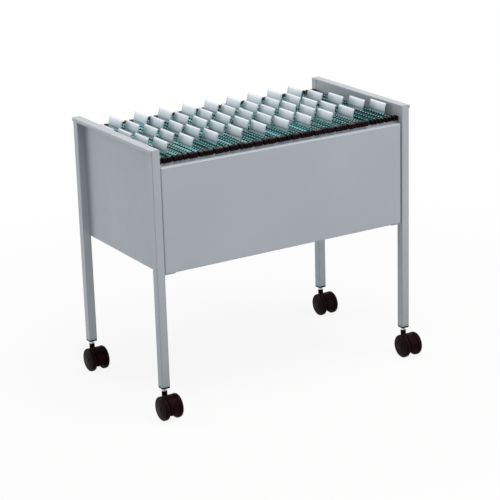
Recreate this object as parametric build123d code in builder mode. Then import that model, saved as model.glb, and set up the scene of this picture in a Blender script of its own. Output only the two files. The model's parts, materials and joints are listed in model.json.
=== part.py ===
from build123d import *
import math
import os

# A mobile file cart: a hopper of folded sheet on four square legs with casters, hung with files.
# Millimetres, +Z up, +X along the cart, front toward -Y, origin on the floor below the frame's centre.

# Frame and sheet
frame_length = 660.0
frame_depth = 367.0
cart_height = 597.0
sheet = 1.5
fold_radius = 2.5

# Legs
leg_side = 19.0
leg_wall = 1.5
leg_corner = 1.0

# End panels: a web between two legs, a flange over their tops and a lip outside them
flange_edge = 1.2
lip_height = 8.0
lip_gap = 0.5
web_set_back = 1.0

# Front and back panels: trays with a return on every edge
panel_drop = 41.0
panel_height = 233.5
panel_recess = 2.0
panel_gap = 2.0
tray_depth = 16.0

# Rails behind the panels, and the lugs and screws that hold both
rail_rise = 11.0
rail_foot = 10.0
rail_end_gap = 0.5
lug_length = 27.0
lower_lug_depth = 15.0
lug_screw_inset = 15.0
lug_notch_gap = 1.0
screw_radius = 2.0
screw_head_radius = 3.5
screw_head_height = 2.2
screw_hole_gap = 0.2
screw_tail = 3.0
screw_stop_gap = 0.2
cutter_height = 6.0

# Casters
wheel_diameter = 54.0
wheel_width = 12.0
wheel_dome = 1.5
wheel_inner_round = 4.0
wheel_outer_round = 4.0
caster_trail = 19.5
caster_headroom = 15.0
hood_width = 19.4
hood_inset = 0.3
hood_floor_gap = 16.0
hood_edge = 0.8
neck_radius = 6.25
neck_foot = 36.0
axle_radius = 3.0
axle_seat = 8.5
axle_end_gap = 0.5
stem_radius = 4.0
stem_depth = 19.0
stem_end_gap = 0.4
collar_radius = 5.5
collar_height = 6.5
plug_flange = 3.5
plug_flange_inset = 0.2
plug_insert = 25.0
plug_fit = 0.1
plug_corner = 0.8
running_fit = 0.05
press_fit = 0.01
side_gap = 0.3

# Hanging files
file_count = 49
files_per_set = 10
first_set_short_by = 1
end_room_left = 6.0
end_room_right = 10.0
loose_files = 4
loose_pitch = 19.5
crowding = 10.0
jostle = 1.3
jostle_turn = 2.4
bar_spread = 2.4
loose_spread = 4.2
bar_thickness = 2.2
bar_rise = 2.0
bar_height = 8.0
hook_clearance = 1.5
hook_height = 6.0
hook_tip_drop = 5.5
hook_reach = 6.0
hook_chamfer = 1.5
hook_shoulder = 3.0
hook_thickness = 3.2
card_thickness = 0.5
card_height = 237.0
card_end_gap = 5.0
card_above_bar = 1.0
card_gap = 0.05
tab_columns = 5
tab_length = 62.0
tab_height = 26.0
tab_thickness = 0.8
tab_lean = 11.0
tab_pitch = 56.5
tab_row_shift = 10.0
label_height = 16.0
label_thickness = 0.2
label_margin = 1.5
label_top_margin = 1.0
rest_gap = 0.02

# Worked out from the sizes above
half_depth = frame_depth / 2
leg_outer_x = frame_length / 2 - sheet - lip_gap
leg_x = leg_outer_x - leg_side / 2
leg_y = half_depth - leg_side / 2
leg_inner_x = leg_outer_x - leg_side
leg_foot_z = wheel_diameter + caster_headroom
leg_top_z = cart_height - sheet
web_inner_x = leg_inner_x + web_set_back

panel_top_z = cart_height - panel_drop
panel_bottom_z = panel_top_z - panel_height
panel_half_length = leg_inner_x - panel_gap
panel_face_y = half_depth - panel_recess
tray_back_y = panel_face_y - tray_depth

rail_half_length = leg_inner_x - rail_end_gap
rail_foot_half_length = panel_half_length - sheet - rail_end_gap
rail_inner_y = tray_back_y - sheet
rail_top_z = panel_top_z + rail_rise
rail_foot_z = panel_top_z - 2 * sheet
lug_middle_x = leg_inner_x - lug_length / 2
screw_x = leg_inner_x - lug_screw_inset
screw_y = tray_back_y + rail_foot / 2
screw_hole_radius = screw_radius + screw_hole_gap

wheel_radius = wheel_diameter / 2
hood_radius = wheel_radius - hood_inset
plug_bottom_z = leg_foot_z - plug_flange
collar_bottom_z = plug_bottom_z - collar_height
neck_top_z = collar_bottom_z - side_gap
stem_foot_z = neck_top_z - stem_depth

bar_top_z = rail_top_z + bar_rise
bar_bottom_z = bar_top_z - bar_height
card_top_z = bar_top_z + card_above_bar
card_half_width = rail_inner_y - card_end_gap
first_file_x = end_room_left - web_inner_x
last_file_x = web_inner_x - end_room_right
tight_files = file_count - 1 - loose_files
tight_span = last_file_x - first_file_x - loose_files * loose_pitch
tight_pitch = tight_span / tight_files

corners = {"front_left": (-1, -1), "front_right": (1, -1), "back_left": (-1, 1), "back_right": (1, 1)}
ends = {"left": -1, "right": 1}
faces = {"front": -1, "back": 1}

os.makedirs("parts", exist_ok=True)


def save(piece, name):
    """Label a finished piece and write it to its own file."""
    piece.part.label = name
    export_step(piece.part, f"parts/{name}.step")


def file_x(index):
    """Middle of a hanging file along the cart: an uneven, slightly crowded run, then a looser one."""
    if index <= tight_files:
        crowd = crowding * math.sin(math.pi * index / tight_files)
        return first_file_x + tight_pitch * index + crowd + jostle * math.sin(jostle_turn * index)
    return last_file_x - loose_pitch * (file_count - 1 - index)


def spread_of(index):
    """Distance from a file's middle to each of its bars; the loose files hang open."""
    return bar_spread if index <= tight_files else loose_spread


def file_sets():
    """The files' index numbers, a list for each set that lifts out together."""
    first = files_per_set - first_set_short_by
    starts = [0] + list(range(first, file_count, files_per_set))
    stops = starts[1:] + [file_count]
    return [list(range(start, stop)) for start, stop in zip(starts, stops)]


# Legs
for corner, (side_x, side_y) in corners.items():
    with BuildPart() as leg:
        with BuildSketch(Plane.XY.offset(leg_foot_z)):
            with Locations((side_x * leg_x, side_y * leg_y)):
                RectangleRounded(leg_side, leg_side, leg_corner)
                Rectangle(leg_side - 2 * leg_wall, leg_side - 2 * leg_wall, mode=Mode.SUBTRACT)
        extrude(amount=leg_top_z - leg_foot_z)
    save(leg, f"{corner}_leg")

# End panels
web_height = cart_height - panel_bottom_z
web_width = frame_depth - 2 * leg_side
flange_width = frame_length / 2 - web_inner_x
for end, side in ends.items():
    with BuildPart() as end_panel:
        with Locations((side * (web_inner_x + sheet / 2), 0, cart_height - web_height / 2)):
            Box(sheet, web_width, web_height)
        with Locations((side * (web_inner_x + flange_width / 2), 0, cart_height - sheet / 2)):
            Box(flange_width, frame_depth, sheet)
        with Locations((side * (frame_length / 2 - sheet / 2), 0, cart_height - lip_height / 2)):
            Box(sheet, frame_depth, lip_height)
        fillet(end_panel.edges().filter_by(Axis.Y).group_by(Axis.Z)[-1], flange_edge)
    save(end_panel, f"{end}_end_panel")

# Front and back panels
notch_height = 2 * lug_notch_gap + sheet
notch_depth = tray_depth - fold_radius - sheet
notch_middle_z = rail_foot_z - sheet / 2
for face, side in faces.items():
    with BuildPart() as panel:
        with Locations((0, side * (panel_face_y - tray_depth / 2), panel_top_z - panel_height / 2)):
            Box(2 * panel_half_length, tray_depth, panel_height)
        shown_face = panel.faces().sort_by(Axis.Y)[0 if side < 0 else -1]
        fillet(shown_face.edges(), fold_radius)
        open_face = panel.faces().sort_by(Axis.Y)[-1 if side < 0 else 0]
        offset(amount=-sheet, openings=open_face)
        with Locations(*[(end * panel_half_length, side * tray_back_y, notch_middle_z) for end in (-1, 1)]):
            Box(4 * sheet, 2 * notch_depth, notch_height, mode=Mode.SUBTRACT)
        with Locations(*[(end * screw_x, side * screw_y, panel_bottom_z) for end in (-1, 1)]):
            Cylinder(screw_hole_radius, cutter_height, mode=Mode.SUBTRACT)
    save(panel, f"{face}_panel")

# Rails
for face, side in faces.items():
    with BuildPart() as rail:
        with Locations((0, side * (rail_inner_y + sheet / 2), (rail_foot_z + rail_top_z) / 2)):
            Box(2 * rail_half_length, sheet, rail_top_z - rail_foot_z)
        with Locations((0, side * (tray_back_y + rail_foot / 2), rail_foot_z + sheet / 2)):
            Box(2 * rail_foot_half_length, rail_foot, sheet)
        with Locations(*[(end * screw_x, side * screw_y, rail_foot_z) for end in (-1, 1)]):
            Cylinder(screw_hole_radius, cutter_height, mode=Mode.SUBTRACT)
    save(rail, f"{face}_rail")

# Lugs and screws: one under each end of a rail and one under each end of a panel
lug_tops = (rail_foot_z, panel_bottom_z)
lug_depths = (rail_foot, lower_lug_depth)
screw_ends = (panel_top_z - sheet - screw_stop_gap, panel_bottom_z + sheet + screw_tail)
with BuildPart() as panel_lugs:
    for top_z, lug_depth in zip(lug_tops, lug_depths):
        for side_x, side_y in corners.values():
            lug_middle_y = tray_back_y + lug_depth / 2
            with Locations((side_x * lug_middle_x, side_y * lug_middle_y, top_z - sheet / 2)):
                Box(lug_length, lug_depth, sheet)
            with Locations((side_x * screw_x, side_y * screw_y, top_z)):
                Cylinder(screw_hole_radius, cutter_height, mode=Mode.SUBTRACT)
save(panel_lugs, "panel_lugs")

with BuildPart() as panel_screws:
    for top_z, end_z in zip(lug_tops, screw_ends):
        head_top_z = top_z - sheet
        for side_x, side_y in corners.values():
            with BuildSketch(Plane.XY.offset(head_top_z - screw_head_height)):
                with Locations((side_x * screw_x, side_y * screw_y)):
                    Circle(screw_head_radius)
            extrude(amount=screw_head_height)
            with BuildSketch(Plane.XY.offset(head_top_z)):
                with Locations((side_x * screw_x, side_y * screw_y)):
                    Circle(screw_radius)
            extrude(amount=end_z - head_top_z)
save(panel_screws, "panel_screws")

# Leg plugs
insert_side = leg_side - 2 * leg_wall - 2 * plug_fit
plug_side = leg_side - 2 * plug_flange_inset
for corner, (side_x, side_y) in corners.items():
    with BuildPart() as leg_plug:
        with BuildSketch(Plane.XY.offset(plug_bottom_z)):
            with Locations((side_x * leg_x, side_y * leg_y)):
                RectangleRounded(plug_side, plug_side, plug_corner)
        extrude(amount=plug_flange)
        with BuildSketch(Plane.XY.offset(leg_foot_z)):
            with Locations((side_x * leg_x, side_y * leg_y)):
                RectangleRounded(insert_side, insert_side, plug_corner)
        extrude(amount=plug_insert)
        with BuildSketch(Plane.XY.offset(plug_bottom_z)):
            with Locations((side_x * leg_x, side_y * leg_y)):
                Circle(stem_radius + press_fit)
        extrude(amount=plug_flange + plug_insert, mode=Mode.SUBTRACT)
    save(leg_plug, f"{corner}_leg_plug")

# Casters
bore = axle_radius + running_fit
bore_depth = axle_seat + axle_end_gap
inner_rim = (wheel_inner_round, wheel_radius - wheel_inner_round)
outer_rim = (wheel_width - wheel_outer_round, wheel_radius - wheel_outer_round)
dome_edge = wheel_radius - wheel_outer_round
dome_radius = (dome_edge**2 + wheel_dome**2) / (2 * wheel_dome)
dome_angle = math.degrees(math.asin(dome_edge / dome_radius))
dome_top = wheel_width + wheel_dome
for corner, (side_x, side_y) in corners.items():
    stem_x = side_x * leg_x
    stem_y = side_y * leg_y
    axle_y = stem_y - caster_trail
    side_plane = Plane.YZ.offset(stem_x)

    with BuildPart() as stem:
        with BuildSketch(Plane.XY.offset(stem_foot_z)):
            with Locations((stem_x, stem_y)):
                Circle(stem_radius)
        extrude(amount=leg_foot_z + plug_insert - stem_foot_z)
        with BuildSketch(Plane.XY.offset(collar_bottom_z)):
            with Locations((stem_x, stem_y)):
                Circle(collar_radius)
        extrude(amount=collar_height)
    save(stem, f"{corner}_caster_stem")

    with BuildPart() as caster_body:
        with BuildSketch(side_plane):
            with Locations((axle_y, wheel_radius)):
                Circle(hood_radius)
            with Locations((axle_y, 0)):
                Rectangle(2 * wheel_diameter, 2 * hood_floor_gap, mode=Mode.SUBTRACT)
        extrude(amount=hood_width / 2, both=True)
        fillet(caster_body.edges().filter_by(GeomType.CIRCLE), hood_edge)
        with BuildSketch(Plane.XY.offset(neck_foot)):
            with Locations((stem_x, stem_y)):
                Circle(neck_radius)
        extrude(amount=neck_top_z - neck_foot)
        with BuildSketch(Plane.XY.offset(neck_top_z)):
            with Locations((stem_x, stem_y)):
                Circle(stem_radius + running_fit)
        extrude(amount=-(stem_depth + stem_end_gap), mode=Mode.SUBTRACT)
        with BuildSketch(side_plane):
            with Locations((axle_y, wheel_radius)):
                Circle(axle_radius + press_fit)
        extrude(amount=hood_width, both=True, mode=Mode.SUBTRACT)
    save(caster_body, f"{corner}_caster_body")

    with BuildPart() as axle:
        with BuildSketch(side_plane):
            with Locations((axle_y, wheel_radius)):
                Circle(axle_radius)
        extrude(amount=hood_width / 2 + side_gap + axle_seat, both=True)
    save(axle, f"{corner}_caster_axle")

    for end, side in ends.items():
        hub = Vector(stem_x + side * (hood_width / 2 + side_gap), axle_y, wheel_radius)
        with BuildPart() as wheel:
            with BuildSketch(Plane(hub, x_dir=(side, 0, 0), z_dir=(0, -side, 0))):
                with BuildLine():
                    Line((0, bore), (0, inner_rim[1]))
                    CenterArc(inner_rim, wheel_inner_round, 180, -90)
                    Line((inner_rim[0], wheel_radius), (outer_rim[0], wheel_radius))
                    CenterArc(outer_rim, wheel_outer_round, 90, -90)
                    CenterArc((dome_top - dome_radius, 0), dome_radius, dome_angle, -dome_angle)
                    Polyline((dome_top, 0), (bore_depth, 0), (bore_depth, bore), (0, bore))
                make_face()
            revolve(axis=Axis(hub, (1, 0, 0)))
        save(wheel, f"{corner}_caster_{end}_wheel")

# Hanging files
notch_inner_y = rail_inner_y - hook_clearance
notch_outer_y = rail_inner_y + sheet + hook_clearance
hook_end_y = notch_outer_y + hook_reach
hook_top_z = rail_top_z + hook_height
tip_z = rail_top_z - hook_tip_drop
shoulder_y = notch_inner_y - hook_shoulder
flap_inset = bar_thickness / 2 + rest_gap + card_thickness / 2
flap_foot_x = card_gap + card_thickness / 2
tab_foot_z = bar_top_z + rest_gap + tab_thickness / 2 * math.sin(math.radians(tab_lean))
tab_slope = Vector(math.sin(math.radians(tab_lean)), 0, math.cos(math.radians(tab_lean)))
tab_normal = Vector(-math.cos(math.radians(tab_lean)), 0, math.sin(math.radians(tab_lean)))
label_rise = tab_height - label_top_margin - label_height / 2
label_out = (tab_thickness + label_thickness) / 2 + rest_gap

with BuildPart() as one_bar:
    with BuildSketch(Plane.YZ):
        with BuildLine():
            half_strip = Polyline(
                (0, bar_bottom_z),
                (shoulder_y, bar_bottom_z),
                (shoulder_y, hook_top_z),
                (shoulder_y - hook_shoulder, bar_top_z),
                (0, bar_top_z),
            )
            mirror(half_strip, about=Plane.YZ)
        make_face()
    extrude(amount=bar_thickness / 2, both=True)
    with BuildSketch(Plane.YZ):
        with BuildLine():
            Polyline(
                (shoulder_y, bar_bottom_z),
                (notch_inner_y, bar_bottom_z),
                (notch_inner_y, rail_top_z),
                (notch_outer_y, rail_top_z),
                (notch_outer_y, tip_z),
                (hook_end_y, tip_z),
                (hook_end_y, hook_top_z - hook_chamfer),
                (hook_end_y - hook_chamfer, hook_top_z),
                (shoulder_y, hook_top_z),
                close=True,
            )
        make_face()
        mirror(about=Plane.YZ)
    extrude(amount=hook_thickness / 2, both=True)

for set_number, members in enumerate(file_sets(), start=1):
    flap_places = []
    for index in members:
        flap_top_x = spread_of(index) - flap_inset
        flap_middle_x = (flap_top_x + flap_foot_x) / 2
        flap_lean = math.degrees(math.atan((flap_top_x - flap_foot_x) / card_height))
        for side in (-1, 1):
            middle = (file_x(index) + side * flap_middle_x, 0, card_top_z - card_height / 2)
            flap_places.append(Location(middle, (0, side * flap_lean, 0)))
    with BuildPart() as card_pockets:
        with Locations(*flap_places):
            Box(card_thickness, 2 * card_half_width, card_height)
    save(card_pockets, f"card_pockets_{set_number}")

    bar_places = []
    for index in members:
        for side in (-1, 1):
            bar_places.append((file_x(index) + side * spread_of(index), 0, 0))
    with BuildPart() as hanger_bars:
        with Locations(*bar_places):
            add(one_bar.part)
    save(hanger_bars, f"hanger_bars_{set_number}")

    tab_places = []
    label_places = []
    for index in members:
        column = (index + first_set_short_by) % tab_columns
        tab_y = tab_row_shift + tab_pitch * ((tab_columns - 1) / 2 - column)
        foot = Vector(file_x(index) - spread_of(index), tab_y, tab_foot_z)
        tab_middle = foot + tab_slope * (tab_height / 2)
        label_middle = foot + tab_slope * label_rise + tab_normal * label_out
        tab_places.append(Location(tab_middle, (0, tab_lean, 0)))
        label_places.append(Location(label_middle, (0, tab_lean, 0)))
    with BuildPart() as index_tabs:
        with Locations(*tab_places):
            Box(tab_thickness, tab_length, tab_height)
    save(index_tabs, f"index_tabs_{set_number}")
    with BuildPart() as tab_labels:
        with Locations(*label_places):
            Box(label_thickness, tab_length - 2 * label_margin, label_height)
    save(tab_labels, f"tab_labels_{set_number}")
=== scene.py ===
# %% [markdown]
# # A mobile file cart
# An open hopper of folded grey steel stands on four square legs with twin-wheel casters, and
# hanging files hook over its two rails. Its solids are packed as a fixed frame, in metres. This
# lesson loads that frame, gives every solid its finish, and remakes the pieces whose real form
# is finer than a plain solid: the folders, their bars, tabs and labels, and the wheels.

# %% Load the frame
import json
import math

import bmesh
import bpy
from mathutils import Matrix, Vector


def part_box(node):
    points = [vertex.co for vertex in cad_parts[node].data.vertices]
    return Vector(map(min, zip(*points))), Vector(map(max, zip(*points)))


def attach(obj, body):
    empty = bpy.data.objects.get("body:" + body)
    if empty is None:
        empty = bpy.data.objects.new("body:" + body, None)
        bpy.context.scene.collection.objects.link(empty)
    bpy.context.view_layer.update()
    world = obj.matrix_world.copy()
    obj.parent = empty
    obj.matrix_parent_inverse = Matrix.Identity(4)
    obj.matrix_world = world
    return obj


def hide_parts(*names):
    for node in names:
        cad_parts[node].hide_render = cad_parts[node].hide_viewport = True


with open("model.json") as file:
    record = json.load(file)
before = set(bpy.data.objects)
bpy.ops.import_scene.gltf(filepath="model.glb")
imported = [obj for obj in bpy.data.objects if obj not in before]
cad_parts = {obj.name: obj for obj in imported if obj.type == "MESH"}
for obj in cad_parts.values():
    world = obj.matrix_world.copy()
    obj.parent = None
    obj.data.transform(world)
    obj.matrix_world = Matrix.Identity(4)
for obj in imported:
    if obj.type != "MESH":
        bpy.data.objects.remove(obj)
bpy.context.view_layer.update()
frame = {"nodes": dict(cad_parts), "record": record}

nodes = frame["nodes"]
bodies = frame["record"]["behaviour"]["bodies"]
mm = 0.001

# %% [markdown]
# ## Tools for finishes
# A finish is a small node tree round one Principled shader. Real paint, plastic and card are never
# one even value, so each finish below mixes two near colours with a slow noise, lets the roughness
# wander, and adds a fine bump. The patterns read Object coordinates: every piece sits at the
# origin, so a pattern stays fixed to the piece when it moves.

# %% Small helpers for node trees
def feed(tree, socket, value):
    """Link an input to another socket, or set it to a value."""
    if isinstance(value, bpy.types.NodeSocket):
        tree.links.new(value, socket)
    else:
        socket.default_value = value


def add(tree, kind, links=None, **settings):
    """A node with settings, its inputs fed by name or index."""
    node = tree.nodes.new(kind)
    for label, value in settings.items():
        setattr(node, label, value)
    for label, value in (links or {}).items():
        feed(tree, node.inputs[label], value)
    return node


def math_of(tree, operation, first, second):
    """The output of a Math node on two sockets or numbers."""
    return add(tree, "ShaderNodeMath", {0: first, 1: second}, operation=operation).outputs[0]


def spread(tree, value, low, high, start=0.3, stop=0.7):
    """A value mapped from the range start to stop, where a noise lies, onto low to high."""
    ranged = add(tree, "ShaderNodeMapRange", {
        "Value": value, "From Min": start, "From Max": stop, "To Min": low, "To Max": high,
    })
    return ranged.outputs["Result"]


print("tree helpers ready")


# %% Small helpers for finishes
def new_finish(name):
    """A material, its tree and its Principled shader."""
    finish = bpy.data.materials.new(name)
    finish.use_nodes = True
    return finish, finish.node_tree, finish.node_tree.nodes["Principled BSDF"]


def speckle(tree, scale, detail=3.0, stretch=(1.0, 1.0, 1.0)):
    """Noise in Object coordinates; stretch squeezes it along an axis."""
    place = add(tree, "ShaderNodeTexCoord").outputs["Object"]
    mapping = add(tree, "ShaderNodeMapping", {"Vector": place, "Scale": stretch})
    noise = {"Vector": mapping.outputs["Vector"], "Scale": scale, "Detail": detail}
    return add(tree, "ShaderNodeTexNoise", noise).outputs["Fac"]


def height_share(tree, low, high):
    """0 below one height of the cart and 1 above another."""
    place = add(tree, "ShaderNodeTexCoord").outputs["Object"]
    parts = add(tree, "ShaderNodeSeparateXYZ", {0: place})
    return spread(tree, parts.outputs["Z"], 0.0, 1.0, low, high)


def dust_film(tree):
    """A mask of thin dust in small patches."""
    return spread(tree, speckle(tree, 55.0, 6.0), 0.0, 1.0, 0.45, 0.78)


def two_tones(tree, factor, first, second):
    """A colour between two, by a factor socket; either may be a socket too."""
    mix = add(tree, "ShaderNodeMix", {"Factor": factor}, data_type="RGBA")
    for tone, name in ((first, "A"), (second, "B")):
        socket = next(s for s in mix.inputs if s.name == name and s.type == "RGBA")
        feed(tree, socket, (*tone, 1.0) if isinstance(tone, tuple) else tone)
    return next(s for s in mix.outputs if s.type == "RGBA")


def relief(tree, shader, height, strength, distance, normal=None):
    """A bump on the shader's normal, on top of another normal where there is one."""
    bump = add(tree, "ShaderNodeBump", {"Height": height, "Strength": strength, "Distance": distance})
    if normal is not None:
        tree.links.new(normal, bump.inputs["Normal"])
    tree.links.new(bump.outputs["Normal"], shader.inputs["Normal"])


def soft_edges(tree, radius):
    """A rounded normal at sharp edges, and a mask that is 1 on them and 0 on flats."""
    rounded = add(tree, "ShaderNodeBevel", {"Radius": radius}, samples=4).outputs["Normal"]
    flat = add(tree, "ShaderNodeNewGeometry").outputs["Normal"]
    likeness = add(tree, "ShaderNodeVectorMath", {0: rounded, 1: flat}, operation="DOT_PRODUCT")
    return rounded, spread(tree, likeness.outputs["Value"], 1.0, 0.0, 0.75, 0.98)


print("finish helpers ready")

# %% [markdown]
# ## Grey powder coat
# The legs, panels, rails and lugs wear one satin grey powder coat. Such a coat has a faint orange
# peel and a slow change of tone where hands and cloths have been. The folds of thin sheet are painted
# pale as a painted highlight, where their rounding catches the light. The corners of the leg tube are
# rounder and painted darker as painted shade, and the front legs are painted darker towards the
# floor, as painted shade where less light reaches them.

# %% Powder coat
coat_tones = (0.332, 0.372, 0.410), (0.356, 0.396, 0.432)
# A dark grey, painted on the tube corners and low on the front legs as painted shade.
painted_shade_tone = (0.16, 0.18, 0.20)
# A pale grey, painted along the folds of thin sheet as a painted highlight.
painted_highlight_tone = (0.50, 0.53, 0.56)
leg_foot_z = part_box("front_left_leg")[0].z
panel_foot_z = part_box("front_panel")[0].z


def powder_coat(name, edge_radius, edge_tone, edge_share, foot_shade_share):
    """The grey coat with a share of another tone on its edges, a painted highlight or painted shade, and
    a share of painted shade at a leg's foot.
    """
    finish, tree, shader = new_finish(name)
    edge_normal, edge_mask = soft_edges(tree, edge_radius)
    clouds = spread(tree, speckle(tree, 5.0, 4.0), 0.0, 1.0)
    coat = two_tones(tree, clouds, *coat_tones)
    # The edges take the painted highlight or the painted shade tone, by the edge mask.
    coat = two_tones(tree, spread(tree, edge_mask, 0.0, edge_share, 0.0, 1.0), coat, edge_tone)
    # Painted shade: the coat is painted darker towards a leg's foot.
    low_shade = spread(tree, height_share(tree, leg_foot_z, panel_foot_z), foot_shade_share, 0.0, 0.0, 1.0)
    coat = two_tones(tree, low_shade, coat, painted_shade_tone)
    tree.links.new(coat, shader.inputs["Base Color"])
    tree.links.new(spread(tree, speckle(tree, 38.0, 5.0), 0.36, 0.50), shader.inputs["Roughness"])
    shader.inputs["Specular IOR Level"].default_value = 0.5
    relief(tree, shader, speckle(tree, 620.0, 2.0), 0.10, 0.25 * mm, edge_normal)
    print("made", name)
    return finish


# Sheet folds get a painted highlight, tube corners get painted shade.
sheet_fold = {"edge_radius": 1.5 * mm, "edge_tone": painted_highlight_tone, "edge_share": 0.12}
tube_corner = {"edge_radius": 3.0 * mm, "edge_tone": painted_shade_tone, "edge_share": 0.35}
powder_grey = powder_coat("powder_grey", **sheet_fold, foot_shade_share=0.0)
front_leg_grey = powder_coat("front_leg_grey", **tube_corner, foot_shade_share=0.35)
back_leg_grey = powder_coat("back_leg_grey", **tube_corner, foot_shade_share=0.0)

# %% [markdown]
# ## Zinc and black plastic
# The caster stems, axles and screws are zinc plated: bright metal with faint drawn streaks. The
# plugs, caster bodies and wheels are moulded in brown-black plastic with a slight sheen, a fine
# grain and a little dust.

# %% Zinc
bright_zinc, tree, shader = new_finish("bright_zinc")
streaks = speckle(tree, 420.0, 3.0, (1.0, 1.0, 0.08))
zinc_tone = two_tones(tree, spread(tree, streaks, 0.0, 1.0), (0.62, 0.61, 0.58), (0.78, 0.78, 0.76))
tree.links.new(zinc_tone, shader.inputs["Base Color"])
tree.links.new(spread(tree, speckle(tree, 160.0), 0.24, 0.42), shader.inputs["Roughness"])
shader.inputs["Metallic"].default_value = 1.0
relief(tree, shader, streaks, 0.12, 0.1 * mm)
print("made", bright_zinc.name)


# %% Moulded plastics
def moulded(name, tones, smooth, rough, grain, shine):
    """A dark moulded plastic: grain in its skin and a thin film of dust in its tone."""
    finish, tree, shader = new_finish(name)
    shader.inputs["Specular IOR Level"].default_value = shine
    tree.links.new(two_tones(tree, dust_film(tree), *tones), shader.inputs["Base Color"])
    tree.links.new(spread(tree, speckle(tree, 90.0, 4.0), smooth, rough), shader.inputs["Roughness"])
    edge_normal, _ = soft_edges(tree, 0.5 * mm)
    relief(tree, shader, speckle(tree, grain, 2.0), 0.10, 0.15 * mm, edge_normal)
    print("made", name)
    return finish


plug_tones = (0.004, 0.004, 0.005), (0.009, 0.009, 0.010)
caster_tones = (0.0082, 0.0019, 0.0028), (0.0118, 0.0044, 0.0055)
plug_black = moulded("plug_black", plug_tones, smooth=0.40, rough=0.55, grain=900.0, shine=0.08)
caster_black = moulded("caster_black", caster_tones, smooth=0.28, rough=0.42, grain=1100.0, shine=0.020)
wheel_black = moulded("wheel_black", caster_tones, smooth=0.24, rough=0.38, grain=800.0, shine=0.026)

# %% [markdown]
# ## Lacquered bars
# The steel bars of the files are dipped in dark brown lacquer. Towards the crown of each hook the
# lacquer turns smoother and its colour is painted paler, a painted glint, more on some files than on
# others. Each file carries a random number, and the smoothness and the painted glint rise with it.

# %% Bar lacquer
hook_top_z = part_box("hanger_bars_1")[1].z
lacquer_tones = (0.0075, 0.0022, 0.0034), (0.012, 0.006, 0.007)
glint_tone = (0.30, 0.24, 0.245)


def told_number(tree, name):
    """A number that a tree stored on its mesh under a name, 0 where there is none."""
    return add(tree, "ShaderNodeAttribute", attribute_name=name).outputs["Fac"]


bar_brown, tree, shader = new_finish("bar_brown")
edge_normal, _ = soft_edges(tree, 0.5 * mm)
lacquer = two_tones(tree, dust_film(tree), *lacquer_tones)
# Painted glint: the crowns are painted paler; the lower roughness there is real polish.
crown_share = height_share(tree, hook_top_z - 0.9 * mm, hook_top_z - 0.1 * mm)
sheen_amount = spread(tree, told_number(tree, "wear"), 0.0, 1.0, 0.2, 0.8)
polish_and_glint = math_of(tree, "MULTIPLY", crown_share, sheen_amount)
lacquer = two_tones(tree, spread(tree, polish_and_glint, 0.0, 0.26, 0.0, 1.0), lacquer, glint_tone)
tree.links.new(lacquer, shader.inputs["Base Color"])
tree.links.new(spread(tree, polish_and_glint, 0.34, 0.20, 0.0, 1.0), shader.inputs["Roughness"])
shader.inputs["Specular IOR Level"].default_value = 0.06
relief(tree, shader, speckle(tree, 700.0, 2.0), 0.10, 0.15 * mm, edge_normal)
print("made", bar_brown.name)

# %% [markdown]
# ## Card, clear plastic and paper
# The folders are pressed card in teal, with short fibres. Their hems are painted a deeper teal, as
# painted shade in the narrow gaps between the files, and the crests of the slotted hems are painted
# pale as a painted highlight of the light from above, each file to its own degree. The plain hems
# behind them are painted near black on most files, as painted shade, and pale on a few, as painted
# highlight. The index tabs are thin frosted sleeves that let the card below show through. Each holds
# a white paper slip, painted bluer and darker towards its foot as painted shade.

# %% Teal card
rail_top_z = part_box("front_rail")[1].z
card_top_z = rail_top_z + 2.4 * mm
teal_card, tree, shader = new_finish("teal_card")
fibres = speckle(tree, 900.0, 4.0, (1.0, 0.25, 1.0))
mottle = spread(tree, speckle(tree, 30.0, 5.0), 0.0, 1.0)
wall_tone = two_tones(tree, mottle, (0.018, 0.140, 0.150), (0.028, 0.180, 0.190))
# Painted shade: the hems are painted darker, for the shade in the gaps between files.
hem_shade_tone = two_tones(tree, mottle, (0.009, 0.066, 0.070), (0.014, 0.090, 0.095))
in_hem = height_share(tree, card_top_z - 14.0 * mm, card_top_z - 9.0 * mm)
card_tone = two_tones(tree, in_hem, wall_tone, hem_shade_tone)

wear = told_number(tree, "wear")
crest_light_share = spread(tree, wear, 0.0, 1.0, 0.3, 0.95)
# Painted highlight: the slotted crests are painted pale, more on some files than others.
slotted_crest = two_tones(tree, crest_light_share, (0.10, 0.47, 0.48), (0.45, 0.63, 0.65))
plain_light_share = spread(tree, wear, 0.0, 1.0, 0.70, 0.82)
# The plain crests: painted shade, near black, on most files, and painted highlight on a few.
plain_crest = two_tones(tree, plain_light_share, (0.006, 0.018, 0.024), (0.12, 0.48, 0.49))
crest_tone = two_tones(tree, told_number(tree, "plain"), slotted_crest, plain_crest)
on_crest = height_share(tree, card_top_z - 0.9 * mm, card_top_z - 0.25 * mm)
card_tone = two_tones(tree, on_crest, card_tone, crest_tone)

card_tone = two_tones(tree, spread(tree, fibres, 0.0, 0.20, 0.5, 0.75), card_tone, (0.20, 0.50, 0.49))
tree.links.new(card_tone, shader.inputs["Base Color"])
tree.links.new(spread(tree, fibres, 0.38, 0.56), shader.inputs["Roughness"])
shader.inputs["Specular IOR Level"].default_value = 0.2
relief(tree, shader, fibres, 0.15, 0.08 * mm)
print("made", teal_card.name)

# %% Frosted sleeve
frosted_sleeve, tree, shader = new_finish("frosted_sleeve")
haze = spread(tree, speckle(tree, 60.0, 4.0), 0.0, 1.0)
sleeve_tone = two_tones(tree, haze, (0.58, 0.69, 0.77), (0.68, 0.77, 0.84))
tree.links.new(sleeve_tone, shader.inputs["Base Color"])
tree.links.new(spread(tree, speckle(tree, 200.0), 0.16, 0.30), shader.inputs["Roughness"])
shader.inputs["Alpha"].default_value = 0.52
relief(tree, shader, speckle(tree, 45.0, 2.0), 0.08, 0.3 * mm)
print("made", frosted_sleeve.name)

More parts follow.
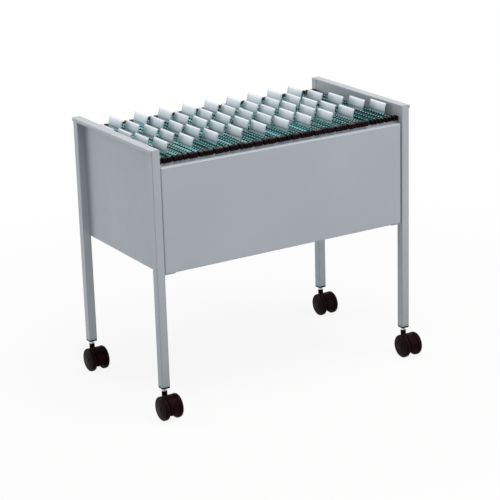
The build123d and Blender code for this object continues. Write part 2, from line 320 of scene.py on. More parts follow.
# %% White slip
white_slip, tree, shader = new_finish("white_slip")
pulp = speckle(tree, 1200.0, 4.0)
clouds = spread(tree, speckle(tree, 25.0), 0.0, 1.0)
paper = two_tones(tree, clouds, (0.66, 0.73, 0.80), (0.73, 0.79, 0.85))
shades = spread(tree, speckle(tree, 40.0), 0.0, 1.0)
# Painted shade: the slip is painted darker and bluer towards its foot.
foot_shade_tone = two_tones(tree, shades, (0.29, 0.385, 0.43), (0.35, 0.44, 0.48))
rise = height_share(tree, card_top_z + 3.0 * mm, card_top_z + 23.0 * mm)
tree.links.new(two_tones(tree, rise, foot_shade_tone, paper), shader.inputs["Base Color"])
tree.links.new(spread(tree, pulp, 0.42, 0.60), shader.inputs["Roughness"])
relief(tree, shader, pulp, 0.10, 0.05 * mm)
print("made", white_slip.name)

# %% [markdown]
# ## Rail coat
# Each rail is grey like the panels, but its upper edge, where the hooks slide, is dipped in dark
# brown plastic. The dip ends in a sharp line at the height of the hook tips, so a height is enough
# to part the two coats.

# %% Rail coat
hook_tip_z = rail_top_z - 5.5 * mm
rail_coat, tree, shader = new_finish("rail_coat")
edge_normal, _ = soft_edges(tree, 0.5 * mm)
clouds = spread(tree, speckle(tree, 5.0, 4.0), 0.0, 1.0)
coat = two_tones(tree, clouds, *coat_tones)
dip = two_tones(tree, dust_film(tree), *lacquer_tones)
dipped = height_share(tree, hook_tip_z - 0.15 * mm, hook_tip_z + 0.15 * mm)
tree.links.new(two_tones(tree, dipped, coat, dip), shader.inputs["Base Color"])
tree.links.new(spread(tree, speckle(tree, 38.0, 5.0), 0.36, 0.50), shader.inputs["Roughness"])
shader.inputs["Specular IOR Level"].default_value = 0.10
relief(tree, shader, speckle(tree, 620.0, 2.0), 0.10, 0.25 * mm, edge_normal)
print("made", rail_coat.name)

# %% [markdown]
# ## Finishes for the solids that stay
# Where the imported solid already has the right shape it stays, and only its material slot changes.
# The record names a slot for every node, so a table from slot to finish dresses most of them. The
# caster bodies, the rails and the legs have finishes of their own.

# %% Dress the solids
finish_of_slot = {
    "grey_paint": powder_grey,
    "zinc": bright_zinc,
    "black_plastic": plug_black,
    "wheel_plastic": wheel_black,
    "teal_card": teal_card,
    "dark_bar": bar_brown,
    "clear_tab": frosted_sleeve,
    "white_label": white_slip,
}
for part in frame["record"]["subparts"]:
    finish = finish_of_slot[part["material_slot"]]
    if part["node"].endswith("caster_body"):
        finish = caster_black
    if part["node"].endswith("_rail"):
        finish = rail_coat
    if part["node"].endswith("_leg"):
        finish = front_leg_grey if part["node"].startswith("front") else back_leg_grey
    mesh = nodes[part["node"]].data
    mesh.materials.clear()
    mesh.materials.append(finish)

# %% [markdown]
# ## Tools for pieces
# A piece starts as a mesh in the frame's own coordinates. Where something repeats, a Geometry Nodes
# tree places the copies: its sizes are named inputs, and the result is turned into one plain mesh
# for each body, because a body is what moves.

# %% Mesh and tree helpers
def new_piece(name, mesh, finish=None):
    """An object at the origin that holds a finished mesh."""
    piece = bpy.data.objects.new(name, mesh)
    bpy.context.scene.collection.objects.link(piece)
    if finish is not None:
        mesh.materials.clear()
        mesh.materials.append(finish)
    return piece


def mesh_from(name, points, faces):
    """A mesh from corner points and faces."""
    mesh = bpy.data.meshes.new(name)
    mesh.from_pydata(points, [], faces)
    mesh.update()
    return mesh


def new_tree(name, inputs):
    """A Geometry Nodes tree with named inputs; returns it with its ends and the inputs' keys."""
    tree = bpy.data.node_groups.new(name, "GeometryNodeTree")
    tree.interface.new_socket("Geometry", in_out="INPUT", socket_type="NodeSocketGeometry")
    tree.interface.new_socket("Geometry", in_out="OUTPUT", socket_type="NodeSocketGeometry")
    keys = {}
    for label, kind in inputs.items():
        keys[label] = tree.interface.new_socket(label, in_out="INPUT", socket_type=kind).identifier
    return tree, tree.nodes.new("NodeGroupInput"), tree.nodes.new("NodeGroupOutput"), keys


def vector_of(tree, x=0.0, y=0.0, z=0.0):
    """The output of a Combine XYZ node."""
    return add(tree, "ShaderNodeCombineXYZ", {"X": x, "Y": y, "Z": z}).outputs[0]


def chance_of(tree, seed, low=0.0, high=1.0):
    """A random number between two sockets or numbers, one for each point."""
    node = add(tree, "FunctionNodeRandomValue", {"Seed": seed}, data_type="FLOAT")
    least, most = (s for s in node.inputs if s.type == "VALUE" and s.name in ("Min", "Max"))
    feed(tree, least, low)
    feed(tree, most, high)
    return next(s for s in node.outputs if s.type == "VALUE")


def told(tree, geometry, name, value, domain):
    """Geometry that carries a number under a name, for the finish to read."""
    kind = "GeometryNodeStoreNamedAttribute"
    links = {"Geometry": geometry, "Name": name, "Value": value}
    return add(tree, kind, links, data_type="FLOAT", domain=domain).outputs[0]


def joined(tree, *parts):
    """The output of a Join Geometry node on several parts."""
    join = add(tree, "GeometryNodeJoinGeometry")
    for part in parts:
        tree.links.new(part, join.inputs[0])
    return join.outputs[0]


def run_tree(name, tree, keys, mesh, values, thickness=0.0):
    """A plain mesh made by a tree from a starting mesh, with a wall thickness where asked."""
    carrier = new_piece(name + "_carrier", mesh)
    modifier = carrier.modifiers.new("tree", "NODES")
    modifier.node_group = tree
    for label, value in values.items():
        modifier[keys[label]] = value
    if thickness:
        wall = carrier.modifiers.new("wall", "SOLIDIFY")
        wall.thickness = thickness
        wall.offset = 0.0
    bpy.context.view_layer.update()
    made = carrier.evaluated_get(bpy.context.evaluated_depsgraph_get())
    plain = bpy.data.meshes.new_from_object(made)
    plain.name = name
    bpy.data.objects.remove(carrier)
    return plain


def sheltered(piece):
    """Hide a pattern object that only a tree reads."""
    piece.hide_render = True
    piece.hide_viewport = True
    return piece


print("piece helpers ready")

# %% [markdown]
# ## Where the files hang
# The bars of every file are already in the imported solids. Reading their places from those solids
# keeps each folder on its own bars. A bar has the two sides of its strip and the two sides of its
# thicker hooks, so the sorted X values of a node come in fours, and two bars make one file. The
# files in the loose run at the right hang wider open than the others.

# %% Read the files' places
SETS = range(1, 6)


def bar_sides(set_number):
    """The X values of each bar in a set: left of hook, left of strip, right of strip, right of hook."""
    xs = sorted({round(v.co.x, 5) for v in nodes[f"hanger_bars_{set_number}"].data.vertices})
    return [xs[i:i + 4] for i in range(0, len(xs), 4)]


files = {}
for n in SETS:
    middles = [(sides[0] + sides[3]) / 2 for sides in bar_sides(n)]
    pairs = list(zip(middles[0::2], middles[1::2]))
    files[n] = [((a + b) / 2, round((b - a) / 2, 4)) for a, b in pairs]
spreads = sorted({apart for n in SETS for x, apart in files[n]})
hook_left, strip_left, strip_right, hook_right = bar_sides(1)[0]
strip_half = (strip_right - strip_left) / 2
hook_half = (hook_right - hook_left) / 2
print("files in each set:", [len(files[n]) for n in SETS])
print("spreads", [round(apart / mm, 2) for apart in spreads], "mm")

# %% [markdown]
# ## Folders
# A folder is one sheet of card. It wraps each bar in a hem and hangs in a narrow V to a rounded
# fold. The hem that carries the tab is pierced by a row of slots, and the dark bar shows through
# them, which gives the ladder pattern along the top of the cart. The hem behind it is plain. One
# pitch of slotted hem is modelled with its slot, and the plain hem in one length. A tree repeats
# the pitch along the bar, adds the wall of card, turns a half with the plain hem to the other side
# and hangs the folder at every file. A Solidify modifier gives the sheet its thickness.

# %% One pitch of slotted hem, a plain hem and one wall of card
card_low, card_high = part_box("card_pockets_1")
card_width = card_high.y - card_low.y
slot_count = 32
slot_pitch = card_width / slot_count
rung_share = 0.44
hem_half = 1.70 * mm
bar_top_z = rail_top_z + 2.0 * mm
hem_top_z = bar_top_z + 0.45 * mm
hem_round = 1.1 * mm
hem_foot_z = bar_top_z - 13.0 * mm
hem_taper_z = bar_top_z - 9.4 * mm
hem_side_z = bar_top_z - 7.4 * mm
slot_foot_z = bar_top_z - 5.2 * mm
hem_foot_x = 0.45 * mm
hem_foot_half = 0.2 * mm


def hem_section():
    """The hem's cross-section round a bar at X 0: up the outside, over the top, down the inside."""
    outline = [(hem_foot_x - hem_foot_half, hem_foot_z), (-0.8 * hem_half, hem_taper_z)]
    outline += [(-hem_half, hem_side_z), (-hem_half, slot_foot_z)]
    for step in range(5):
        angle = math.pi - step * math.pi / 4
        outline.append((hem_half * math.cos(angle), hem_top_z - hem_round + hem_round * math.sin(angle)))
    outline += [(hem_half, slot_foot_z), (hem_half, hem_side_z)]
    outline += [(0.9 * hem_half, hem_taper_z), (hem_foot_x + hem_foot_half, hem_foot_z)]
    return outline


section = hem_section()
slot_half = slot_pitch * (1.0 - rung_share) / 2
ys = [-slot_pitch / 2, -slot_half, slot_half, slot_pitch / 2]
points = [(x, y, z) for y in ys for x, z in section]
hem_faces = []
for strip in (0, 1, 2):
    for i in range(len(section) - 1):
        over_slot = min(section[i][1], section[i + 1][1]) > slot_foot_z - 0.01 * mm
        if strip == 1 and over_slot:
            continue
        a = strip * len(section) + i
        b = a + len(section)
        hem_faces.append((a, b, b + 1, a + 1))
hem_cell = sheltered(new_piece("hem_cell", mesh_from("hem_cell", points, hem_faces)))

points = [(x, y, z) for y in (-card_width / 2, card_width / 2) for x, z in section]
plain_faces = [(i, i + len(section), i + len(section) + 1, i + 1) for i in range(len(section) - 1)]
plain_hem = sheltered(new_piece("plain_hem", mesh_from("plain_hem", points, plain_faces)))

wall_rows = 7
wall_columns = 9
wall_ys = [(column / (wall_columns - 1) - 0.5) * card_width for column in range(wall_columns)]
wall_top_z = hem_foot_z + 1.0 * mm
wall_sway = 0.35 * mm
fold_half = 0.55 * mm


def card_wall(name, apart):
    """One side of a folder, from the middle of its fold up to the hem of the bar at X = -apart."""
    points = []
    for row in range(wall_rows):
        rise = row / (wall_rows - 1)
        z = card_low.z + fold_half + rise * (wall_top_z - card_low.z - fold_half)
        for y in wall_ys:
            sway = wall_sway * math.sin(math.pi * rise) * math.sin(9.0 * y / card_width + 1.0)
            points.append((-fold_half - rise * (apart - fold_half) + sway + hem_foot_x * rise, y, z))
    for angle in (30, 60, 90):
        x = -fold_half * math.cos(math.radians(angle))
        z = card_low.z + fold_half * (1 - math.sin(math.radians(angle)))
        points += [(x, y, z) for y in wall_ys]
    rows = [wall_rows + 2, wall_rows + 1, wall_rows] + list(range(wall_rows))
    faces = []
    for low, high in zip(rows, rows[1:]):
        for column in range(wall_columns - 1):
            a = low * wall_columns + column
            b = high * wall_columns + column
            faces.append((a, b, b + 1, a + 1))
    return sheltered(new_piece(name, mesh_from(name, points, faces)))


walls = {apart: card_wall(f"card_wall_{i}", apart) for i, apart in enumerate(spreads)}
print("hem cell", len(hem_faces), "faces, slot pitch", round(slot_pitch / mm, 2), "mm")

# %% The folder tree
tree, enter, leave, folder_keys = new_tree("folders", {
    "Hem Cell": "NodeSocketObject",
    "Plain Hem": "NodeSocketObject",
    "Card Wall": "NodeSocketObject",
    "Slot Count": "NodeSocketInt",
    "Slot Pitch": "NodeSocketFloat",
    "Bar Spread": "NodeSocketFloat",
    "Swing": "NodeSocketFloat",
    "Seed": "NodeSocketInt",
    "Card": "NodeSocketMaterial",
})
cell = add(tree, "GeometryNodeObjectInfo", {"Object": enter.outputs["Hem Cell"]}).outputs["Geometry"]
wall = add(tree, "GeometryNodeObjectInfo", {"Object": enter.outputs["Card Wall"]}).outputs["Geometry"]
plain = add(tree, "GeometryNodeObjectInfo", {"Object": enter.outputs["Plain Hem"]}).outputs["Geometry"]
last = math_of(tree, "SUBTRACT", enter.outputs["Slot Count"], 1.0)
start_y = math_of(tree, "MULTIPLY", math_of(tree, "MULTIPLY", last, enter.outputs["Slot Pitch"]), -0.5)
out_x = math_of(tree, "MULTIPLY", enter.outputs["Bar Spread"], -1.0)
row = add(tree, "GeometryNodeMeshLine", {
    "Count": enter.outputs["Slot Count"],
    "Start Location": vector_of(tree, out_x, start_y, 0.0),
    "Offset": vector_of(tree, 0.0, enter.outputs["Slot Pitch"], 0.0),
})
hem = add(tree, "GeometryNodeInstanceOnPoints", {"Points": row.outputs[0], "Instance": cell})
front_half = joined(tree, hem.outputs[0], wall)
set_out = add(tree, "GeometryNodeTransform", {"Geometry": plain, "Translation": vector_of(tree, out_x)})
back_half = joined(tree, told(tree, set_out.outputs[0], "plain", 1.0, "POINT"), wall)
half_turn = (0.0, 0.0, math.pi)
turned_half = add(tree, "GeometryNodeTransform", {"Geometry": back_half, "Rotation": half_turn})
away = math_of(tree, "MULTIPLY", enter.outputs["Swing"], -1.0)
swing = chance_of(tree, enter.outputs["Seed"], away, enter.outputs["Swing"])
hung = add(tree, "GeometryNodeInstanceOnPoints", {
    "Points": enter.outputs["Geometry"],
    "Instance": joined(tree, front_half, turned_half.outputs[0]),
    "Rotation": vector_of(tree, 0.0, 0.0, swing),
})
# A random number for each file, which sets how strongly its crests are painted with highlight.
wear = chance_of(tree, math_of(tree, "ADD", enter.outputs["Seed"], 70.0))
sheened = told(tree, hung.outputs[0], "wear", wear, "INSTANCE")
real = add(tree, "GeometryNodeRealizeInstances", {"Geometry": sheened})
merged = add(tree, "GeometryNodeMergeByDistance", {"Geometry": real.outputs[0], "Distance": 0.02 * mm})
coated = add(tree, "GeometryNodeSetMaterial", {
    "Geometry": merged.outputs[0], "Material": enter.outputs["Card"],
})
tree.links.new(coated.outputs[0], leave.inputs[0])
folder_tree = tree
print("folder tree with", len(tree.nodes), "nodes")


# %% Hang the folders
def runs_of(set_number):
    """For each spread in a set, the spread and a mesh with one point at each file."""
    for apart in spreads:
        places = [(x, 0.0, 0.0) for x, found in files[set_number] if found == apart]
        if places:
            yield apart, mesh_from(f"files_{set_number}", places, [])


def in_one(name, meshes):
    """One mesh from the meshes of a set."""
    whole = bmesh.new()
    for mesh in meshes:
        whole.from_mesh(mesh)
    single = meshes[0].copy()
    single.name = name
    whole.to_mesh(single)
    whole.free()
    return single


for n in SETS:
    meshes = []
    for apart, points in runs_of(n):
        meshes.append(run_tree(f"folders_{n}_run", folder_tree, folder_keys, points, {
            "Hem Cell": hem_cell,
            "Plain Hem": plain_hem,
            "Card Wall": walls[apart],
            "Slot Count": slot_count,
            "Slot Pitch": slot_pitch,
            "Bar Spread": apart,
            "Swing": math.radians(0.12),
            "Seed": n,
            "Card": teal_card,
        }, thickness=0.4 * mm))
    mesh = in_one(f"folders_{n}", meshes)
    piece = new_piece(f"folders_{n}", mesh)
    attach(piece, f"file_set_{n}")
    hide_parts(f"card_pockets_{n}")
    print(piece.name, len(mesh.polygons), "faces")

# %% [markdown]
# ## Hanger bars
# Each bar is a flat strip whose ends rise into a shoulder, thicken and hook over the rail. The shape
# is drawn as an outline. Every point of it gets a half thickness, the hook's beyond the shoulder and
# the strip's before it, and the sides are filled as flat faces. A fine bevel lets the tops of the
# hooks catch light along their edges. A second small tree sets two bars at each file.

# %% One bar
rail_inner_y = abs(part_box("front_rail")[1].y)
hook_end_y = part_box("hanger_bars_1")[1].y
bar_foot_z = bar_top_z - 8.0 * mm
notch_inner_y = rail_inner_y - 1.5 * mm
notch_outer_y = notch_inner_y + 4.5 * mm
shoulder_y = notch_inner_y - 3.0 * mm
strip_end_y = shoulder_y - 3.0 * mm


def arc(across, up, radius, start, stop, steps):
    """Points of an outline on an arc about a centre, angles in degrees."""
    found = []
    for i in range(steps + 1):
        angle = math.radians(start + (stop - start) * i / steps)
        found.append((across + radius * math.cos(angle), up + radius * math.sin(angle)))
    return found


crown = 2.4 * mm
tip_round = 1.4 * mm
throat = 1.0 * mm
half_outline = [(strip_end_y, bar_foot_z), (shoulder_y, bar_foot_z), (notch_inner_y, bar_foot_z)]
half_outline += arc(notch_inner_y + throat, rail_top_z - throat, throat, 180, 90, 3)
half_outline += arc(notch_outer_y - throat, rail_top_z - throat, throat, 90, 0, 3)
half_outline += arc(notch_outer_y + tip_round, hook_tip_z + tip_round, tip_round, 180, 270, 3)
half_outline += arc(hook_end_y - tip_round, hook_tip_z + tip_round, tip_round, 270, 360, 3)
half_outline += arc(hook_end_y - crown, hook_top_z - crown, crown, 0, 90, 4)
half_outline += [(shoulder_y, hook_top_z), (strip_end_y, bar_top_z)]
outline = half_outline + [(-y, z) for y, z in reversed(half_outline)]
count = len(half_outline)
flats = [
    list(range(1, count - 1)),
    [0, 1, count - 2, count - 1],
    [count - 1, count, 2 * count - 1, 0],
    [count, count + 1, 2 * count - 2, 2 * count - 1],
    list(range(count + 1, 2 * count - 1)),
]
shape = bmesh.new()
rings = []
for way in (-1, 1):
    ring = []
    for y, z in outline:
        half = hook_half if abs(y) > shoulder_y - 0.01 * mm else strip_half
        ring.append(shape.verts.new((way * half, y, z)))
    for flat in flats:
        shape.faces.new([ring[i] for i in flat])
    rings.append(ring)
for i in range(2 * count):
    after = (i + 1) % (2 * count)
    shape.faces.new((rings[0][i], rings[0][after], rings[1][after], rings[1][i]))
bmesh.ops.recalc_face_normals(shape, faces=shape.faces)
rims = []
for ring in rings:
    rims += [shape.edges.get((ring[i], ring[(i + 1) % (2 * count)])) for i in range(2 * count)]
bmesh.ops.bevel(shape, geom=rims, offset=0.45 * mm, segments=2, affect="EDGES", profile=0.5)
bar_mesh = bpy.data.meshes.new("one_bar")
shape.to_mesh(bar_mesh)
shape.free()
one_bar = sheltered(new_piece("one_bar", bar_mesh))
print("one bar:", len(bar_mesh.polygons), "faces, hooks", round(2 * hook_half / mm, 2), "mm thick")

# %% The bar tree
tree, enter, leave, bar_keys = new_tree("hanger bars", {
    "Bar": "NodeSocketObject",
    "Bar Spread": "NodeSocketFloat",
    "Seed": "NodeSocketInt",
    "Paint": "NodeSocketMaterial",
})
strip = add(tree, "GeometryNodeObjectInfo", {"Object": enter.outputs["Bar"]}).outputs["Geometry"]
out_x = math_of(tree, "MULTIPLY", enter.outputs["Bar Spread"], -1.0)
pair = add(tree, "GeometryNodeMeshLine", {
    "Count": 2,
    "Start Location": vector_of(tree, out_x),
    "Offset": vector_of(tree, math_of(tree, "MULTIPLY", enter.outputs["Bar Spread"], 2.0)),
})
two_bars = add(tree, "GeometryNodeInstanceOnPoints", {"Points": pair.outputs[0], "Instance": strip})
hung = add(tree, "GeometryNodeInstanceOnPoints", {
    "Points": enter.outputs["Geometry"], "Instance": two_bars.outputs[0],
})
# A random number for each file, which sets the painted glint and the polish of its hook crowns.
sheened = told(tree, hung.outputs[0], "wear", chance_of(tree, enter.outputs["Seed"]), "INSTANCE")
real = add(tree, "GeometryNodeRealizeInstances", {"Geometry": sheened})
coated = add(tree, "GeometryNodeSetMaterial", {
    "Geometry": real.outputs[0], "Material": enter.outputs["Paint"],
})
tree.links.new(coated.outputs[0], leave.inputs[0])
bar_tree = tree
print("bar tree with", len(tree.nodes), "nodes")

# %% Hang the bars
for n in SETS:
    meshes = []
    for apart, points in runs_of(n):
        values = {"Bar": one_bar, "Bar Spread": apart, "Seed": 30 + n, "Paint": bar_brown}
        meshes.append(run_tree(f"bars_{n}_run", bar_tree, bar_keys, points, values))
    mesh = in_one(f"bars_{n}", meshes)
    piece = new_piece(f"bars_{n}", mesh)
    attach(piece, f"file_set_{n}")
    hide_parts(f"hanger_bars_{n}")
    print(piece.name, len(mesh.polygons), "faces")

# %% [markdown]
# ## Index tabs and their slips
# A tab stands in the front hem of its file and leans back, more at its top than at its foot, and the
# tabs step across the cart in five columns. One tree bends a grid into such a sheet. It runs once
# for the frosted tabs and once, a little smaller and in front of them, for the paper slips. Both
# runs draw the same random leans, because they share a seed.

# %% The sheet tree
tree, enter, leave, sheet_keys = new_tree("leaning sheets", {
    "Length": "NodeSocketFloat",
    "Height": "NodeSocketFloat",
    "Foot": "NodeSocketFloat",
    "Stand Off": "NodeSocketFloat",
    "Lean": "NodeSocketFloat",
    "Bend": "NodeSocketFloat",
    "Stray": "NodeSocketFloat",
    "Seed": "NodeSocketInt",
    "Sheet": "NodeSocketMaterial",
})
grid = add(tree, "GeometryNodeMeshGrid", {
    "Size X": enter.outputs["Height"],
    "Size Y": enter.outputs["Length"],
    "Vertices X": 9,
    "Vertices Y": 11,
})
spot = add(tree, "ShaderNodeSeparateXYZ", {0: add(tree, "GeometryNodeInputPosition").outputs[0]})
half_height = math_of(tree, "MULTIPLY", enter.outputs["Height"], 0.5)
half_length = math_of(tree, "MULTIPLY", enter.outputs["Length"], 0.5)
rise = math_of(tree, "ADD", math_of(tree, "ADD", spot.outputs["X"], half_height), enter.outputs["Foot"])
curl = math_of(tree, "MULTIPLY", rise, enter.outputs["Bend"])
slope = math_of(tree, "ADD", enter.outputs["Lean"], curl)
back = math_of(tree, "SUBTRACT", math_of(tree, "MULTIPLY", rise, slope), enter.outputs["Stand Off"])
edges = []
for side, half in (("X", half_height), ("Y", half_length)):
    away = add(tree, "ShaderNodeMath", {0: spot.outputs[side]}, operation="ABSOLUTE").outputs[0]
    edges.append(math_of(tree, "GREATER_THAN", away, math_of(tree, "SUBTRACT", half, 0.1 * mm)))
corner = math_of(tree, "MULTIPLY", *edges)
trim = math_of(tree, "SUBTRACT", 1.0, math_of(tree, "MULTIPLY", corner, 0.025))
bent = add(tree, "GeometryNodeSetPosition", {
    "Geometry": grid.outputs["Mesh"],
    "Position": vector_of(tree, back, math_of(tree, "MULTIPLY", spot.outputs["Y"], trim), rise),
})
forward = math_of(tree, "MULTIPLY", enter.outputs["Stray"], -1.0)
stray = chance_of(tree, enter.outputs["Seed"], forward, enter.outputs["Stray"])
stood = add(tree, "GeometryNodeInstanceOnPoints", {
    "Points": enter.outputs["Geometry"],
    "Instance": bent.outputs[0],
    "Rotation": vector_of(tree, 0.0, stray, 0.0),
})
real = add(tree, "GeometryNodeRealizeInstances", {"Geometry": stood.outputs[0]})
smooth = add(tree, "GeometryNodeSetShadeSmooth", {"Geometry": real.outputs[0]})
coated = add(tree, "GeometryNodeSetMaterial", {
    "Geometry": smooth.outputs[0], "Material": enter.outputs["Sheet"],
})
tree.links.new(coated.outputs[0], leave.inputs[0])
sheet_tree = tree
print("sheet tree with", len(tree.nodes), "nodes")

# %% Stand the tabs and slips
tab_length = 62.0 * mm
tab_height = 25.6 * mm
tab_foot = 0.2 * mm
slip_length = 59.0 * mm
slip_height = 20.0 * mm
slip_foot = 5.1 * mm
slip_stand_off = 0.42 * mm
tab_columns = 5
tab_pitch = 56.5 * mm
tab_row_shift = 10.0 * mm
first_column = {1: 1}
shared = {"Lean": math.tan(math.radians(3.0)), "Bend": 6.4, "Stray": math.radians(1.6)}


def tab_points(set_number):
    """A mesh with one point at the foot of each tab of a set, stepping through the columns."""
    feet = []
    for i, (x, apart) in enumerate(files[set_number]):
        column = (i + first_column.get(set_number, 0)) % tab_columns
        y = tab_row_shift + tab_pitch * ((tab_columns - 1) / 2 - column)
        feet.append((x - apart, y, bar_top_z))
    return mesh_from(f"tabs_{set_number}", feet, [])


sheets = {
    "index_tabs": {
        "Length": tab_length, "Height": tab_height, "Foot": tab_foot, "Stand Off": 0.0,
    },
    "tab_labels": {
        "Length": slip_length, "Height": slip_height, "Foot": slip_foot, "Stand Off": slip_stand_off,
    },
}
looks = {
    "index_tabs": ("tabs", frosted_sleeve, "clear_tab", 0.5 * mm),
    "tab_labels": ("slips", white_slip, "white_label", 0.2 * mm),
}
for kind, sizes in sheets.items():
    label, finish, slot, thickness = looks[kind]
    for n in SETS:
        values = {**sizes, **shared, "Seed": 10 + n, "Sheet": finish}
        mesh = run_tree(f"{label}_{n}", sheet_tree, sheet_keys, tab_points(n), values, thickness)
        piece = new_piece(f"{label}_{n}", mesh)
        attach(piece, f"file_set_{n}")
        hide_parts(f"{kind}_{n}")
    print(kind, "remade in", len(SETS), "sets")

for pattern in (hem_cell, plain_hem, one_bar, *walls.values()):
    bpy.data.objects.remove(pattern)

# %% [markdown]
# ## Wheels
# Each caster runs on two wheels with a round tread and a shallow dome on the outside. A ring groove
# parts the dome from the tread, and a small boss covers the axle. A wheel is a turned shape, so its
# section is drawn once and spun about the axle.

# %% A turned shape
def turned(name, section, centre, side, steps=72):
    """A closed shape spun about an axis along X; section runs from axis to axis as (out, radius)."""
    points = []
    faces = []
    rings = []
    for out, radius in section:
        if radius == 0.0:
            rings.append([len(points)])
            points.append((centre.x + side * out, centre.y, centre.z))
            continue
        rings.append(list(range(len(points), len(points) + steps)))
        for step in range(steps):
            angle = 2 * math.pi * step / steps
            y = centre.y + radius * math.cos(angle)
            points.append((centre.x + side * out, y, centre.z + radius * math.sin(angle)))
    for a, b in zip(rings, rings[1:]):
        for step in range(steps):
            after = (step + 1) % steps
            if len(a) == 1:
                faces.append((a[0], b[after], b[step]))
            elif len(b) == 1:
                faces.append((a[step], a[after], b[0]))
            else:
                faces.append((a[step], a[after], b[after], b[step]))
    mesh = mesh_from(name, points, faces)
    shape = bmesh.new()
    shape.from_mesh(mesh)
    bmesh.ops.recalc_face_normals(shape, faces=shape.faces)
    shape.to_mesh(mesh)
    shape.free()
    for face in mesh.polygons:
        face.use_smooth = True
    return mesh


print("lathe ready")

# %% The section of a wheel
low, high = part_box("front_left_caster_left_wheel")
wheel_radius = (high.z - low.z) / 2
wheel_width = high.x - low.x
dome_rise = 1.5 * mm
rim_x = wheel_width - dome_rise
inner_round = 4.0 * mm
outer_round = 4.0 * mm
bore = 3.05 * mm
bore_depth = 9.0 * mm
groove_radius = wheel_radius - 6.4 * mm
groove_width = 1.1 * mm
groove_depth = 0.4 * mm
boss_radius = 6.0 * mm
boss_rise = 0.2 * mm
dome_radius = (groove_radius**2 + dome_rise**2) / (2 * dome_rise)


def dome_at(radius):
    """How far out the dome stands at a radius."""
    return rim_x + dome_rise - boss_rise - dome_radius + math.sqrt(dome_radius**2 - radius**2)


wheel_section = [(bore_depth, 0.0), (bore_depth, bore), (0.0, bore)]
wheel_section += arc(inner_round, wheel_radius - inner_round, inner_round, 180, 90, 4)
wheel_section += arc(rim_x - outer_round, wheel_radius - outer_round, outer_round, 90, 0, 7)
wheel_section.append((rim_x - 0.1 * mm, groove_radius + groove_width))
wheel_section.append((rim_x - groove_depth, groove_radius + 0.75 * groove_width))
wheel_section.append((rim_x - groove_depth, groove_radius + 0.25 * groove_width))
for share in (1.0, 0.8, 0.6, 0.45):
    wheel_section.append((dome_at(groove_radius * share), groove_radius * share))
wheel_section.append((dome_at(boss_radius), boss_radius + 0.3 * mm))
wheel_section.append((dome_at(boss_radius) + boss_rise, boss_radius - 0.2 * mm))
wheel_section += [(rim_x + dome_rise, 2.0 * mm), (rim_x + dome_rise, 0.0)]
print("wheel section has", len(wheel_section), "points, radius", round(wheel_radius / mm, 1), "mm")

# %% Set the wheels on their axles
for body, members in bodies.items():
    if not body.endswith("_wheel"):
        continue
    node = members[0]
    low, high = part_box(node)
    side = -1 if "_left_wheel" in node else 1
    hub = Vector((low.x if side > 0 else high.x, (low.y + high.y) / 2, (low.z + high.z) / 2))
    mesh = turned(body, wheel_section, hub, side)
    piece = new_piece(body + "_turned", mesh, wheel_black)
    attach(piece, body)
    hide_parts(node)
print("wheels turned:", sum(body.endswith("_wheel") for body in bodies))

# %% [markdown]
# ## Floor, light and camera
# The cart stands on a plain pale floor. A broad soft lamp hangs above, one stands at the front
# right and one behind the left end, and a white world fills the rest. The tops are then the
# brightest faces, the front and the left end are lit alike, and what turns away from the lamps, such
# as the inner side of a leg, goes darker. To the camera the floor mixes towards white and keeps a
# soft shadow.

# %% Floor
def seen(tree):
    """1 on rays from the camera, also by way of gloss or through a clear piece, and 0 on others."""
    rays = add(tree, "ShaderNodeLightPath").outputs
    direct = math_of(tree, "MAXIMUM", rays["Is Camera Ray"], rays["Is Glossy Ray"])
    return math_of(tree, "MAXIMUM", direct, rays["Is Transmission Ray"])


span = 30.0
corners = [(-span, -span, 0), (span, -span, 0), (span, span, 0), (-span, span, 0)]
floor = new_piece("floor", mesh_from("floor", corners, [(0, 1, 2, 3)]))
pale_floor, tree, shader = new_finish("pale_floor")
shader.inputs["Base Color"].default_value = (0.60, 0.60, 0.60, 1.0)
shader.inputs["Roughness"].default_value = 0.9
shader.inputs["Specular IOR Level"].default_value = 0.0
place = add(tree, "ShaderNodeTexCoord").outputs["Object"]
far = add(tree, "ShaderNodeVectorMath", {0: place}, operation="LENGTH").outputs["Value"]
share = math_of(tree, "MULTIPLY", seen(tree), spread(tree, far, 0.89, 1.0, 0.4, 1.5))
white = add(tree, "ShaderNodeEmission")
mixed = add(tree, "ShaderNodeMixShader", {"Fac": share, 1: shader.outputs[0], 2: white.outputs[0]})
tree.links.new(mixed.outputs[0], tree.nodes["Material Output"].inputs["Surface"])
floor.data.materials.append(pale_floor)
print("floor", 2 * span, "m wide")

# %% World
world = bpy.data.worlds.new("white_studio")
bpy.context.scene.world = world
world.use_nodes = True
tree = world.node_tree
fill = tree.nodes["Background"]
fill.inputs["Color"].default_value = (0.94, 0.97, 1.0, 1.0)
fill.inputs["Strength"].default_value = 0.42
backdrop = add(tree, "ShaderNodeBackground", {"Color": (1.0, 1.0, 1.0, 1.0), "Strength": 1.0})
mixed = add(tree, "ShaderNodeMixShader", {"Fac": seen(tree), 1: fill.outputs[0], 2: backdrop.outputs[0]})
tree.links.new(mixed.outputs[0], tree.nodes["World Output"].inputs["Surface"])
print("world fill", fill.inputs["Strength"].default_value)

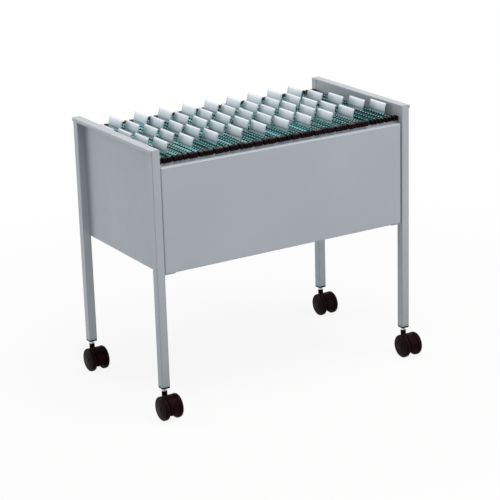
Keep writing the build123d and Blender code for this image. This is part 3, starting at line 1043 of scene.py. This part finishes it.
# %% Lamps
cart_middle = (0.0, 0.0, 0.4)


def soft_lamp(name, place, size, watts, tint):
    """A square area lamp that looks at the middle of the cart."""
    lamp = bpy.data.lights.new(name, "AREA")
    lamp.color = tint
    lamp.size = size
    lamp.energy = watts
    piece = bpy.data.objects.new(name, lamp)
    piece.location = place
    piece.rotation_euler = (Vector(cart_middle) - Vector(place)).to_track_quat("-Z", "Y").to_euler()
    bpy.context.scene.collection.objects.link(piece)
    return piece


soft_lamp("overhead", (0.2, -1.0, 3.1), size=2.6, watts=104.0, tint=(1.0, 0.94, 0.89))
soft_lamp("front", (2.4, -2.8, 1.3), size=1.6, watts=21.0, tint=(0.97, 0.99, 1.0))
soft_lamp("side", (-2.2, 2.5, 1.3), size=1.6, watts=46.0, tint=(1.0, 0.985, 0.97))
bpy.context.scene.view_settings.view_transform = "Standard"
print("three lamps")

# %% [markdown]
# The photograph was taken from the front left with a long lens, a little above the hopper. The
# numbers below are the camera's place, its heading, its tilt and its roll, found by fitting the
# frame's corners to the picture.

# %% Camera
camera_place = Vector((-1.9777, -3.3126, 1.5352))
heading = math.radians(30.99)
tilt = math.radians(-18.163)
roll = math.radians(-1.68)
focal_pixels = 1772.2
picture_pixels = 500
ahead = Vector((
    math.sin(heading) * math.cos(tilt),
    math.cos(heading) * math.cos(tilt),
    math.sin(tilt),
))
level_right = ahead.cross(Vector((0, 0, 1))).normalized()
level_up = level_right.cross(ahead)
right = level_right * math.cos(roll) + level_up * math.sin(roll)
up = level_up * math.cos(roll) - level_right * math.sin(roll)
lens = bpy.data.cameras.new("camera")
lens.sensor_width = 36.0
lens.lens = focal_pixels / picture_pixels * lens.sensor_width
lens.clip_end = 100.0
camera = bpy.data.objects.new("camera", lens)
facing = Matrix((right, up, -ahead)).transposed().to_4x4()
camera.matrix_world = Matrix.Translation(camera_place) @ facing
bpy.context.scene.collection.objects.link(camera)
bpy.context.scene.camera = camera
print("lens", round(lens.lens, 1), "mm")

# %% Update the scene
bpy.context.view_layer.update()
